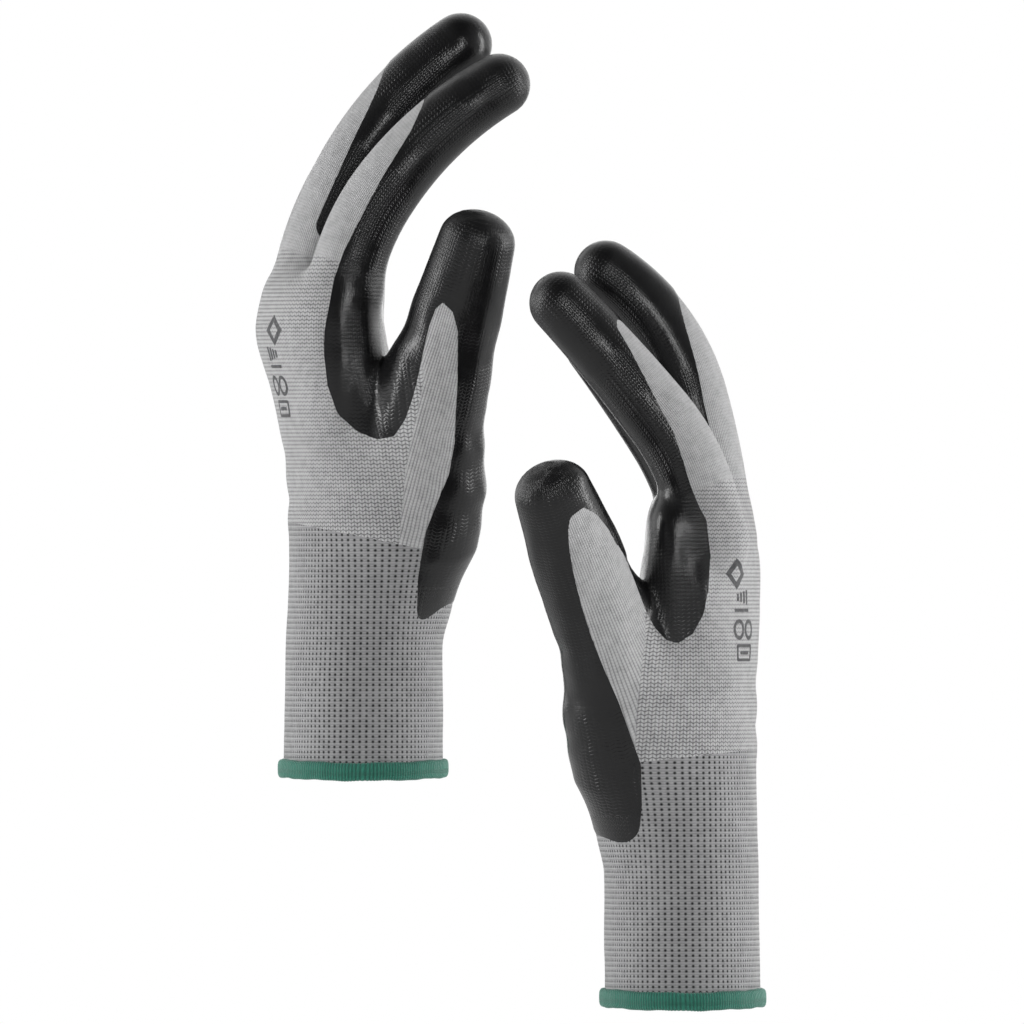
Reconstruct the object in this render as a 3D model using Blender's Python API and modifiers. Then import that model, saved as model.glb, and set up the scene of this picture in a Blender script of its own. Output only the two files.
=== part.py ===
"""A pair of knitted work gloves with a dipped palm coat, filled as if worn, fingers up.

Each glove is a knitted liner, an elastic cuff, an overlocked hem, a dipped coat on the palm side and
a printed mark on the back. The liner and the coat are divided where the glove bends: at the root and
at the middle of each finger and of the thumb. The left glove's cuff opening is centred on the origin,
its palm faces +X and its thumb -Y. The right glove is its mirror image and stands lower and nearer.
"""

import math

import bmesh
import bpy
from mathutils import Matrix, Vector

MM = 0.001

# Wall thicknesses and clearances
LINER_WALL = 1.0 * MM
COAT_WALL = 0.5 * MM
PRINT_WALL = 0.3 * MM
GAP = 0.3 * MM
SOCKET_GAP = 0.5 * MM
FINGER_GAP = 2.2 * MM

# Cuff and hem: depth is back to palm, width is side to side
CUFF_LENGTH = 76.0 * MM
CUFF_DEPTH = 48.6 * MM
CUFF_WIDTH = 65.0 * MM
HEM_HEIGHT = 6.0 * MM
HEM_STAND = 1.8 * MM
HEM_WALL = 3.4 * MM
HEM_BEVEL = 1.0 * MM

# Hand: from the top of the cuff to the roots of the fingers
PALM_LENGTH = 78.5 * MM
PALM_MARGIN = 1.2 * MM
KNUCKLE_BOW = 8.0 * MM
KNUCKLE_DROP = 5.5 * MM
KNUCKLE_PEAK = -5.0 * MM
HAND_SQUARENESS = 2.4

# How each hand's section changes above the cuff: share of the palm's length, how far the back and the
# front stand out from the cuff's, share of the widening from cuff to knuckles, share of the bow
HAND_SECTIONS = {
    "left": (
        (0.00, 0.0 * MM, 0.0 * MM, 0.00, 0.0),
        (0.19, -0.4 * MM, -2.5 * MM, 0.38, 0.0),
        (0.38, 1.5 * MM, -6.5 * MM, 0.68, 0.2),
        (0.57, 4.5 * MM, -12.0 * MM, 0.88, 0.5),
        (0.72, 7.5 * MM, -17.0 * MM, 0.97, 0.8),
        (0.81, 9.0 * MM, -18.5 * MM, 1.00, 1.0),
        (0.88, 8.2 * MM, -19.5 * MM, 1.00, 1.0),
        (1.00, 5.5 * MM, -20.0 * MM, 1.00, 1.0),
    ),
    "right": (
        (0.00, 0.0 * MM, 0.0 * MM, 0.00, 0.0),
        (0.19, 0.6 * MM, -2.0 * MM, 0.38, 0.0),
        (0.38, 0.9 * MM, -5.5 * MM, 0.68, 0.2),
        (0.57, 1.6 * MM, -9.5 * MM, 0.88, 0.5),
        (0.72, 2.2 * MM, -13.5 * MM, 0.97, 0.8),
        (0.81, 2.7 * MM, -14.6 * MM, 1.00, 1.0),
        (0.88, 2.2 * MM, -16.0 * MM, 1.00, 1.0),
        (1.00, -0.5 * MM, -16.8 * MM, 1.00, 1.0),
    ),
}

# Joints: how far a digit's hinge stands off the open end below it, and where the coat starts above
# the root hinge and above the middle one
ROOT_SEAT = 7.0 * MM
MIDDLE_SEAT = 6.5 * MM
BALL_ANGLE = math.radians(45)
ROOT_COAT_START = 4.0 * MM
MIDDLE_COAT_START = 1.5 * MM
COAT_BELOW_TOP = 1.0 * MM

# Fingers: half widths and half depths at the root, the middle hinge and the tip, lengths from root
# hinge to middle hinge and on to the centre of the round tip, and how far the finger leans sideways
FINGERS = {
    "index": {
        "half_width": (10.0 * MM, 9.9 * MM, 9.1 * MM),
        "half_depth": (11.3 * MM, 10.9 * MM, 9.4 * MM),
        "lengths": (28.0 * MM, 49.5 * MM),
        "lean": -1.5,
    },
    "middle": {
        "half_width": (10.0 * MM, 9.9 * MM, 9.2 * MM),
        "half_depth": (11.3 * MM, 10.9 * MM, 9.5 * MM),
        "lengths": (31.0 * MM, 53.0 * MM),
        "lean": 0.0,
    },
    "ring": {
        "half_width": (9.8 * MM, 9.6 * MM, 8.9 * MM),
        "half_depth": (11.0 * MM, 10.5 * MM, 9.2 * MM),
        "lengths": (29.0 * MM, 47.0 * MM),
        "lean": 1.5,
    },
    "little": {
        "half_width": (9.0 * MM, 8.7 * MM, 8.1 * MM),
        "half_depth": (10.2 * MM, 9.5 * MM, 8.4 * MM),
        "lengths": (23.0 * MM, 36.0 * MM),
        "lean": 3.5,
    },
}

# Each finger's pose: place forward of the cuff's middle, how far it is bent towards the palm at its
# root, its middle and its tip in degrees, and the share of its outer length that is filled
FINGER_POSES = {
    "left": {
        "index": (-5.6 * MM, (14, 35, 60), 1.0),
        "middle": (-14.6 * MM, (14, 28, 58), 1.0),
        "ring": (-14.4 * MM, (12, 28, 66), 1.0),
        "little": (-4.6 * MM, (10, 27, 40), 1.0),
    },
    "right": {
        "index": (-8.2 * MM, (16, 38, 44), 0.98),
        "middle": (-12.3 * MM, (8, 14, 56), 0.90),
        "ring": (-12.0 * MM, (10, 20, 58), 0.92),
        "little": (-5.0 * MM, (18, 34, 38), 0.97),
    },
}

# Thumb: its hinges run across its width, it slants forward, and it bends towards the little finger,
# or away from it where the bends are negative
THUMB = {
    "half_width": (14.6 * MM, 14.0 * MM, 12.2 * MM),
    "half_depth": (11.2 * MM, 10.4 * MM, 9.4 * MM),
    "lengths": (19.0 * MM, 21.0 * MM),
}
# Each thumb's pose: place forward, slant and bends in degrees
THUMB_POSES = {
    "left": (24.2 * MM, 16, (-22, -20, -14)),
    "right": (26.0 * MM, 20, (-28, -34, -30)),
}
THUMB_HEIGHT_SHARE = 0.69
THUMB_OUTSIDE = 0.5 * MM

# The ball of the thumb: share of the way from its root in the wrist to the thumb's root hinge, and
# half width and half depth as multiples of the thumb's. Near the wrist these multiples and the
# root's place across belong to a cuff of BALL_CUFF_WIDTH, and follow the cuff when it differs
BALL_CUFF_WIDTH = 65.0 * MM
BALL_OF_THUMB_ROOT = (3.5 * MM, -11.0 * MM, -15.0 * MM)
BALL_OF_THUMB = (
    (0.00, 1.50, 1.75),
    (0.27, 1.50, 1.72),
    (0.53, 1.37, 1.50),
    (0.76, 1.15, 1.28),
    (1.00, 1.00, 1.05),
)

# Coat edge on the hand, as share of the palm's length above the cuff and distance forward
COAT_EDGE = (
    (1.30, -6.5 * MM),
    (0.94, -11.0 * MM),
    (0.82, -12.5 * MM),
    (0.61, -11.5 * MM),
    (0.46, -7.5 * MM),
    (0.28, 0.5 * MM),
    (0.05, 9.5 * MM),
    (-0.15, 15.0 * MM),
    (-0.34, 16.5 * MM),
)
# The bare patch on the back of the thumb's root, in the same terms
THUMB_PATCH = (
    (0.90, 24.5 * MM),
    (0.60, 28.0 * MM),
    (0.38, 28.5 * MM),
    (0.25, 26.5 * MM),
    (0.12, 22.0 * MM),
    (-0.05, 17.5 * MM),
    (-0.40, 16.5 * MM),
    (-0.40, -31.5 * MM),
    (0.40, -31.5 * MM),
    (0.41, 8.5 * MM),
    (0.60, 15.5 * MM),
    (0.80, 18.5 * MM),
)
# How far the patch reaches across, as a share of the thumb's half depth past the thumb's middle
THUMB_PATCH_REACH = 0.25
# Where the coat's edge lies on a finger: share of the half depth towards the palm at the root and at
# the middle, and the share of the outer length at which it has reached the back
FINGER_COAT_EDGE = (-0.05, -0.25, 0.62)
THUMB_COAT_EDGE = (-0.80, -0.80, 0.20)

# The printed mark on the back of the hand
PRINT_LOW_SHARE = 0.50
PRINT_HIGH_SHARE = 0.88
PRINT_SIDE = -6.0 * MM
PRINT_HALF_WIDTH = 20.0 * MM
PRINT_BEHIND = 11.0 * MM

# The right glove's place from the left one's
RIGHT_PLACE = Vector((97.2 * MM, -120.0 * MM, -70.6 * MM))

# Fineness of the round shapes
DIGIT_SIDES = 12
HAND_SIDES = 20
BALL_SIDES = 16
SOCKET_SIDES = 14
SOCKET_RINGS = 8
CENTRE_STEPS = 24
TIP_RING_ANGLE = math.radians(48)
SHARP_ANGLE = math.radians(35)

# How far cutting shapes reach: past everything, and past the face that they open
FAR = 120.0 * MM
PAST = 7.5 * MM


def clear_scene():
    for thing in list(bpy.data.objects):
        bpy.data.objects.remove(thing, do_unlink=True)


def new_material(name, colour, roughness):
    material = bpy.data.materials.new(name)
    material.use_nodes = True
    shader = material.node_tree.nodes["Principled BSDF"]
    shader.inputs["Base Color"].default_value = (*colour, 1.0)
    shader.inputs["Roughness"].default_value = roughness
    shader.inputs["Metallic"].default_value = 0.0
    return material


def new_collection(name, hidden=False):
    collection = bpy.data.collections.new(name)
    collection.hide_render = hidden
    bpy.context.scene.collection.children.link(collection)
    return collection


clear_scene()
PARTS = new_collection("work_gloves")
CUTTERS = new_collection("cutting_shapes", hidden=True)
KNIT = new_material("grey_knit", (0.42, 0.42, 0.43), 0.85)
COAT = new_material("black_coat", (0.02, 0.02, 0.02), 0.35)
HEM = new_material("green_hem", (0.01, 0.22, 0.16), 0.8)
PRINT = new_material("dark_print", (0.06, 0.06, 0.065), 0.6)


def add_object(name, mesh, origin, material=None):
    """Places the mesh, given in world metres, as an object whose origin is at the given point. With no
    material it is a shape that others are cut by or joined to, and isn't part of the gloves."""
    mesh.transform(Matrix.Translation(-origin))
    thing = bpy.data.objects.new(name, mesh)
    thing.location = origin
    if material:
        mesh.materials.append(material)
        mesh.shade_smooth()
        mesh.set_sharp_from_angle(angle=SHARP_ANGLE)
        PARTS.objects.link(thing)
    else:
        thing.hide_render = True
        thing.display_type = "WIRE"
        CUTTERS.objects.link(thing)
    return thing


def strip_cap(bm, ring):
    """Closes a ring with faces that run straight across it, so an arched ring gets an arched cap."""
    count = len(ring)
    for i in range(count // 2):
        corners = (ring[i], ring[i + 1], ring[count - i - 1], ring[-i])
        bm.faces.new(tuple(dict.fromkeys(corners)))


def loft(rings, caps=(False, False), apex=None):
    """A surface through rings of points, with a cap at either end or a point at the far one."""
    bm = bmesh.new()
    made = [[bm.verts.new(point) for point in ring] for ring in rings]
    count = len(made[0])
    for low, high in zip(made, made[1:]):
        for i in range(count):
            j = (i + 1) % count
            bm.faces.new((low[i], low[j], high[j]))
            bm.faces.new((low[i], high[j], high[i]))
    if apex:
        top = bm.verts.new(apex)
        for i in range(count):
            bm.faces.new((made[-1][i], made[-1][(i + 1) % count], top))
    for ring, wanted in zip((made[0], made[-1]), caps):
        if wanted:
            strip_cap(bm, ring)
    bmesh.ops.recalc_face_normals(bm, faces=bm.faces)
    middle = sum(rings[0] + rings[1], Vector()) / (2 * count)
    bm.faces.ensure_lookup_table()
    if bm.faces[0].normal.dot(bm.faces[0].calc_center_median() - middle) < 0:
        bmesh.ops.reverse_faces(bm, faces=bm.faces)
    mesh = bpy.data.meshes.new("loft")
    bm.to_mesh(mesh)
    bm.free()
    return mesh


def prism(outline, low, high):
    """A closed block: the outline's points (x, z), from y = low to y = high."""
    bm = bmesh.new()
    face = bm.faces.new([bm.verts.new((x, low, z)) for x, z in outline])
    grown = bmesh.ops.extrude_face_region(bm, geom=[face])
    moved = [item for item in grown["geom"] if isinstance(item, bmesh.types.BMVert)]
    bmesh.ops.translate(bm, verts=moved, vec=(0, high - low, 0))
    bmesh.ops.recalc_face_normals(bm, faces=bm.faces)
    mesh = bpy.data.meshes.new("prism")
    bm.to_mesh(mesh)
    bm.free()
    return mesh


def box(low, high):
    outline = ((low[0], low[2]), (high[0], low[2]), (high[0], high[2]), (low[0], high[2]))
    return prism(outline, low[1], high[1])


def ellipsoid(centre, axes, radii):
    """A ball stretched to the radii along the three unit axes."""
    bm = bmesh.new()
    bmesh.ops.create_uvsphere(bm, u_segments=SOCKET_SIDES, v_segments=SOCKET_RINGS, radius=1.0)
    stretch = Matrix([axis * radius for axis, radius in zip(axes, radii)]).transposed()
    bmesh.ops.transform(bm, matrix=Matrix.Translation(centre) @ stretch.to_4x4(), verts=bm.verts)
    bmesh.ops.recalc_face_normals(bm, faces=bm.faces)
    mesh = bpy.data.meshes.new("ball")
    bm.to_mesh(mesh)
    bm.free()
    return mesh


def boolean(thing, operation, other):
    modifier = thing.modifiers.new(other.name, "BOOLEAN")
    modifier.operation = operation
    modifier.object = other
    modifier.solver = "EXACT"


def solidify(thing, wall):
    """Gives an open surface a wall that lies inside it."""
    modifier = thing.modifiers.new("wall", "SOLIDIFY")
    modifier.thickness = wall
    modifier.offset = -1.0
    modifier.use_even_offset = True


def power(value, exponent):
    return math.copysign(abs(value) ** exponent, value)


def knuckle_half():
    widths = sum(2 * finger["half_width"][0] for finger in FINGERS.values())
    return (widths + 3 * FINGER_GAP) / 2 + PALM_MARGIN


def knuckle_height(across):
    """Height of the hand's open top, which arches down towards both sides."""
    share = (across - KNUCKLE_PEAK) / knuckle_half()
    return CUFF_LENGTH + PALM_LENGTH - KNUCKLE_DROP * share * share


def finger_places():
    """Sideways place of each finger, index first, side by side across the hand."""
    across = PALM_MARGIN - knuckle_half()
    places = {}
    for name, finger in FINGERS.items():
        across += finger["half_width"][0]
        places[name] = across
        across += finger["half_width"][0] + FINGER_GAP
    return places


class Glove:
    """One glove's frame: side is 1 where the palm faces +X and -1 where it faces -X."""

    def __init__(self, name, side, place):
        self.name = name
        self.side = side
        self.place = place
        self.sections = HAND_SECTIONS[name]

    def at(self, forward, across, up):
        """World point from distances towards the palm, towards the little finger, and up."""
        return self.place + Vector((self.side * forward, across, up))

    def hand_ring(self, section, grow, lift=None):
        """One ring of the hand or cuff. lift is the ring's height, or None for the arched top."""
        share, back_out, front_out, widening, bow = section
        back = -CUFF_DEPTH / 2 - back_out - grow
        front = CUFF_DEPTH / 2 + front_out + grow
        half = CUFF_WIDTH / 2 + widening * (knuckle_half() - CUFF_WIDTH / 2) + grow
        points = []
        for i in range(HAND_SIDES):
            angle = math.tau * i / HAND_SIDES
            across = half * power(math.cos(angle), 2 / HAND_SQUARENESS)
            forward = (back + front) / 2 + bow * KNUCKLE_BOW * (across / half) ** 2
            forward += (front - back) / 2 * power(math.sin(angle), 2 / HAND_SQUARENESS)
            up = knuckle_height(across) if lift is None else lift
            points.append(self.at(forward, across, up))
        return points

    def hand(self, grow, bottom, top_extra):
        """The hand as a closed solid, grown by an amount, from a height in the cuff to above its top."""
        rings = [self.hand_ring(self.sections[0], grow, bottom)]
        for section in self.sections[:-1]:
            height = CUFF_LENGTH + section[0] * PALM_LENGTH
            rings.append(self.hand_ring(section, grow, height))
        top = self.hand_ring(self.sections[-1], grow)
        if top_extra > 0:
            rings.append(top)
        rings.append([point + Vector((0, 0, top_extra)) for point in top])
        return loft(rings, caps=(True, True))


class Digit:
    """A finger or thumb: a bent centre line, and sections whose width runs along the hinge axis."""

    def __init__(self, name, root, forward, pad, bends, sizes, filled=1.0):
        self.name = name
        self.root = root
        self.forward = forward
        self.pad = pad
        self.axis = forward.cross(pad)
        self.bends = [math.radians(bend) for bend in bends]
        self.sizes = sizes
        self.lean = math.tan(math.radians(sizes.get("lean", 0.0)))
        self.inner = sizes["lengths"][0]
        self.outer = sizes["lengths"][1] * filled
        self.length = self.inner + self.outer

    def blend(self, values, along):
        """Reads a value given at the root, the middle hinge and the tip, at a distance along."""
        root, middle, tip = values
        if along <= self.inner:
            return root + (middle - root) * along / self.inner
        return middle + (tip - middle) * (along - self.inner) / self.outer

    def ahead(self, along):
        bend = self.blend(self.bends, along)
        return self.forward * math.cos(bend) + self.pad * math.sin(bend)

    def palmwards(self, along):
        bend = self.blend(self.bends, along)
        return self.pad * math.cos(bend) - self.forward * math.sin(bend)

    def centre(self, along):
        point = self.root.copy()
        for i in range(CENTRE_STEPS):
            point += self.ahead(along * (i + 0.5) / CENTRE_STEPS) * along / CENTRE_STEPS
        return point + Vector((0, self.lean * along, 0))

    def ring(self, along, grow, shrink=1.0, shift=0.0):
        centre = self.centre(along) + self.ahead(along) * shift
        width = (self.blend(self.sizes["half_width"], along) + grow) * shrink
        depth = (self.blend(self.sizes["half_depth"], along) + grow) * shrink
        points = []
        for i in range(DIGIT_SIDES):
            angle = math.tau * (i + 0.5) / DIGIT_SIDES
            across = self.axis * (width * math.cos(angle))
            points.append(centre + across + self.palmwards(along) * (depth * math.sin(angle)))
        return points

    def round_end(self, along):
        """The ring below a hinge, on the ball about it."""
        drop = self.blend(self.sizes["half_depth"], along) * math.sin(BALL_ANGLE)
        return self.ring(along, 0, math.cos(BALL_ANGLE), -drop)

    def tip_rings(self, grow):
        depth = self.sizes["half_depth"][2] + grow
        end = self.length
        shrink = math.cos(TIP_RING_ANGLE)
        rise = depth * math.sin(TIP_RING_ANGLE)
        rings = [self.ring(end, grow), self.ring(end, grow, shrink, rise)]
        return rings, self.centre(end) + self.ahead(end) * depth

    def base_surface(self, grow, coat):
        start = ROOT_COAT_START if coat else 0.0
        stations = (start, self.inner / 2, self.inner - MIDDLE_SEAT)
        rings = [self.ring(along, grow) for along in stations]
        if not coat:
            rings.insert(0, self.round_end(0))
        return loft(rings)

    def tip_surface(self, grow, coat):
        start = self.inner + (MIDDLE_COAT_START if coat else 0.0)
        stations = (start, self.inner + self.outer / 2)
        rings = [self.ring(along, grow) for along in stations]
        if not coat:
            rings.insert(0, self.round_end(self.inner))
        caps, apex = self.tip_rings(grow)
        return loft(rings + caps, apex=apex)

    def hinge(self, part):
        return self.centre(0.0 if part == "base" else self.inner)

    def back_cutter(self, edge, part):
        """A block over the back of the digit, whose face is the plane of the coat's edge."""
        at_root, at_middle, reach = edge
        if part == "base":
            ends = ((0.0, at_root), (self.inner, at_middle))
        else:
            ends = ((self.inner, at_middle), (self.inner + self.outer * reach, -1.0))
        low, high = (
            self.centre(along)
            + self.palmwards(along) * share * self.blend(self.sizes["half_depth"], along)
            for along, share in ends
        )
        along = (high - low).normalized()
        outward = self.axis.cross(along).normalized()
        if outward.dot(self.palmwards(ends[0][0])) > 0:
            outward.negate()
        middle = (low + high) / 2
        corners = []
        for far in (0.0, self.length):
            for a, b in ((-1, -1), (1, -1), (1, 1), (-1, 1)):
                corner = middle + self.axis * a * self.length + along * b * self.length
                corners.append(corner + outward * far)
        return loft([corners[:4], corners[4:]], caps=(True, True))


def make_fingers(glove):
    fingers = []
    for name, across in finger_places().items():
        sizes = FINGERS[name]
        forward, bends, filled = FINGER_POSES[glove.name][name]
        root = glove.at(forward, across, knuckle_height(across) + ROOT_SEAT)
        pad = Vector((glove.side, 0, 0))
        fingers.append(Digit(name, root, Vector((0, 0, 1)), pad, bends, sizes, filled))
    return fingers


def make_thumb(glove):
    height = CUFF_LENGTH + PALM_LENGTH * THUMB_HEIGHT_SHARE
    forward, slant, bends = THUMB_POSES[glove.name]
    root = glove.at(forward, -knuckle_half() - THUMB_OUTSIDE, height)
    slant = math.radians(slant)
    ahead = Vector((glove.side * math.sin(slant), 0, math.cos(slant)))
    return Digit("thumb", root, ahead, Vector((0, 1, 0)), bends, THUMB)


def ball_of_thumb(glove, thumb, grow, top_extra):
    """The thick of the hand below the thumb, as a closed solid."""
    forward, across, below = BALL_OF_THUMB_ROOT
    wrist = CUFF_WIDTH / BALL_CUFF_WIDTH
    low = glove.at(forward, across * wrist, CUFF_LENGTH + below)
    ahead = thumb.ahead(0)
    high = thumb.root - ahead * ROOT_SEAT
    half_width = thumb.sizes["half_width"][0]
    half_depth = thumb.sizes["half_depth"][0]
    rings = []
    for share, wide, deep in BALL_OF_THUMB:
        centre = low.lerp(high, share)
        size = wrist + (1 - wrist) * share
        ring = []
        for i in range(BALL_SIDES):
            angle = math.tau * i / BALL_SIDES
            across_part = thumb.axis * ((half_width * wide * size + grow) * math.cos(angle))
            deep_part = thumb.palmwards(0) * ((half_depth * deep * size + grow) * math.sin(angle))
            ring.append(centre + across_part + deep_part)
        rings.append(ring)
    if top_extra > 0:
        rings.append([point + ahead * top_extra for point in rings[-1]])
    elif top_extra < 0:
        rings[-1] = [point + ahead * top_extra for point in rings[-1]]
    return loft(rings, caps=(True, True))


def cut_sockets(thing, digits):
    """Opens the hand at each digit's root, round the ball that turns in it."""
    for digit in digits:
        axes = (digit.axis, digit.palmwards(0), digit.ahead(0))
        width = digit.sizes["half_width"][0] + SOCKET_GAP
        depth = digit.sizes["half_depth"][0] + SOCKET_GAP
        mesh = ellipsoid(digit.root, axes, (width, depth, depth))
        name = f"socket_{thing.name}_{digit.name}"
        boolean(thing, "DIFFERENCE", add_object(name, mesh, digit.root))


def combine(thing, place, cuts):
    """Joins or cuts the thing with each shape in turn."""
    for operation, suffix, mesh in cuts:
        boolean(thing, operation, add_object(f"{thing.name}_{suffix}", mesh, place))


def make_palm_liner(glove, digits):
    thumb = digits[-1]
    bottom = CUFF_LENGTH + GAP
    palm = add_object(glove.name + "_palm_liner", glove.hand(0, bottom - PAST, 0), glove.place, KNIT)
    below = box(glove.place - Vector((FAR, FAR, FAR)), glove.place + Vector((FAR, FAR, bottom)))
    cuts = (
        ("UNION", "ball", ball_of_thumb(glove, thumb, 0, 0)),
        ("DIFFERENCE", "below", below),
        ("DIFFERENCE", "hollow", glove.hand(-LINER_WALL, bottom - 2 * PAST, -LINER_WALL)),
        ("DIFFERENCE", "ball_hollow", ball_of_thumb(glove, thumb, -LINER_WALL, -LINER_WALL)),
    )
    combine(palm, glove.place, cuts)
    cut_sockets(palm, digits)


def side_outline(glove, edge):
    """World x and z of an edge given as share of the palm's length above the cuff and place forward."""
    points = [glove.at(forward, 0, CUFF_LENGTH + share * PALM_LENGTH) for share, forward in edge]
    return [(point.x, point.z) for point in points]


def make_palm_coat(glove, digits):
    thumb = digits[-1]
    outer = GAP + COAT_WALL
    lowest = CUFF_LENGTH + COAT_EDGE[-1][0] * PALM_LENGTH
    solid = glove.hand(outer, lowest, -COAT_BELOW_TOP)
    coat = add_object(glove.name + "_palm_coat", solid, glove.place, COAT)
    edge = side_outline(glove, COAT_EDGE)
    behind = glove.at(-FAR, 0, 0).x
    under = edge[-1][1] - PAST
    outline = edge + [(edge[-1][0], under), (behind, under), (behind, edge[0][1])]
    across = glove.place.y
    patch_depth = thumb.root.y + thumb.sizes["half_depth"][0] * THUMB_PATCH_REACH
    patch = prism(side_outline(glove, THUMB_PATCH), across - FAR, patch_depth)
    cuts = (
        ("UNION", "ball", ball_of_thumb(glove, thumb, outer, -COAT_BELOW_TOP)),
        ("DIFFERENCE", "hand", glove.hand(GAP, lowest - PAST, PAST)),
        ("DIFFERENCE", "ball_hollow", ball_of_thumb(glove, thumb, GAP, PAST)),
        ("DIFFERENCE", "back", prism(outline, across - FAR, across + FAR)),
        ("DIFFERENCE", "patch", patch),
    )
    combine(coat, glove.place, cuts)
    cut_sockets(coat, digits)


def make_cuff(glove):
    section = glove.sections[0]
    heights = (HEM_HEIGHT + GAP, CUFF_LENGTH / 2, CUFF_LENGTH)
    rings = [glove.hand_ring(section, 0, height) for height in heights]
    cuff = add_object(glove.name + "_cuff", loft(rings), glove.place, KNIT)
    solidify(cuff, LINER_WALL)


def make_hem(glove):
    section = glove.sections[0]
    profile = (
        (0.0, HEM_STAND - HEM_BEVEL),
        (HEM_BEVEL, HEM_STAND),
        (HEM_HEIGHT - HEM_BEVEL, HEM_STAND),
        (HEM_HEIGHT, HEM_STAND - HEM_BEVEL),
    )
    rings = [glove.hand_ring(section, out, height) for height, out in profile]
    hem = add_object(glove.name + "_hem", loft(rings), glove.place, HEM)
    solidify(hem, HEM_WALL)


def make_print(glove):
    low = CUFF_LENGTH + PALM_LENGTH * PRINT_LOW_SHARE
    high = CUFF_LENGTH + PALM_LENGTH * PRINT_HIGH_SHARE
    solid = glove.hand(GAP + PRINT_WALL, CUFF_LENGTH - PAST, 0)
    mark = add_object(glove.name + "_back_print", solid, glove.place, PRINT)
    ends = (
        glove.at(-FAR, PRINT_SIDE - PRINT_HALF_WIDTH, low),
        glove.at(-PRINT_BEHIND, PRINT_SIDE + PRINT_HALF_WIDTH, high),
    )
    low_corner = [min(pair) for pair in zip(*ends)]
    high_corner = [max(pair) for pair in zip(*ends)]
    cuts = (
        ("DIFFERENCE", "inside", glove.hand(GAP, CUFF_LENGTH - 2 * PAST, PAST)),
        ("INTERSECT", "window", box(low_corner, high_corner)),
    )
    combine(mark, glove.place, cuts)


def make_digit(glove, digit, edge):
    surfaces = {"base": digit.base_surface, "tip": digit.tip_surface}
    for part, surface in surfaces.items():
        name = f"{glove.name}_{digit.name}_{part}"
        hinge = digit.hinge(part)
        liner = add_object(name + "_liner", surface(0, False), hinge, KNIT)
        solidify(liner, LINER_WALL)
        coat = add_object(name + "_coat", surface(GAP + COAT_WALL, True), hinge, COAT)
        solidify(coat, COAT_WALL)
        cutter = add_object(name + "_coat_edge", digit.back_cutter(edge, part), hinge)
        boolean(coat, "DIFFERENCE", cutter)


def make_glove(glove):
    fingers = make_fingers(glove)
    thumb = make_thumb(glove)
    digits = (*fingers, thumb)
    make_cuff(glove)
    make_hem(glove)
    make_palm_liner(glove, digits)
    make_palm_coat(glove, digits)
    make_print(glove)
    for finger in fingers:
        make_digit(glove, finger, FINGER_COAT_EDGE)
    make_digit(glove, thumb, THUMB_COAT_EDGE)


GLOVES = (Glove("left", 1, Vector((0, 0, 0))), Glove("right", -1, RIGHT_PLACE))
for each in GLOVES:
    make_glove(each)
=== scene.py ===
"""Looks of the pair of knitted work gloves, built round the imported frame.

Each glove is first one smooth closed form: a distance field of the hand, the ball of the thumb, the
thumb and the four fingers, joined with soft webs, and read as a mesh. That mesh is divided into the
cuff, the hand and two pieces for each digit. A dipped coat lies on it as a thin closed skin, and the
hem is a band of overlock thread. Lengths are in millimetres in a glove's own frame: towards the
palm, across towards the little finger, up from the hem.
"""

import math

import bpy
import numpy as np
import openvdb
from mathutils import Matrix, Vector


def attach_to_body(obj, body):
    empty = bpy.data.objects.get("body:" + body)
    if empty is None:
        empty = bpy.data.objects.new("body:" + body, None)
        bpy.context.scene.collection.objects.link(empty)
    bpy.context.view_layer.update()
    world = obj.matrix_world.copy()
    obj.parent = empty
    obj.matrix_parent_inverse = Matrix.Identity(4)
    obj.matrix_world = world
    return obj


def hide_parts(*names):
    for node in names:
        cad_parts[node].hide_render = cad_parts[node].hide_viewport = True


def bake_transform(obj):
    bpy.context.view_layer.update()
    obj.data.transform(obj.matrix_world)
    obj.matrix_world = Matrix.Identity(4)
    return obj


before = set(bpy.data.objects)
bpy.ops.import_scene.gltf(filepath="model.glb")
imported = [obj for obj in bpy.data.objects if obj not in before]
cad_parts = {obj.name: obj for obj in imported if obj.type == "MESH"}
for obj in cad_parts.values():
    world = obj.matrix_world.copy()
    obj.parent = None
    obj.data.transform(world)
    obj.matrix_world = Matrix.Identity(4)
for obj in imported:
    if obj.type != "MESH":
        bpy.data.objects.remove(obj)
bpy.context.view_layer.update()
MM = 0.001

# The form, as in the CAD
CUFF_LENGTH = 76.0
CUFF_DEPTH = 48.6
CUFF_WIDTH = 65.0
PALM_LENGTH = 78.5
PALM_MARGIN = 1.2
FINGER_GAP = 2.2
KNUCKLE_BOW = 8.0
KNUCKLE_DROP = 5.5
KNUCKLE_PEAK = -5.0
SQUARENESS = 2.4
ROOT_SEAT = 7.0
RIGHT_PLACE = (97.2, -120.0, -70.6)

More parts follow.
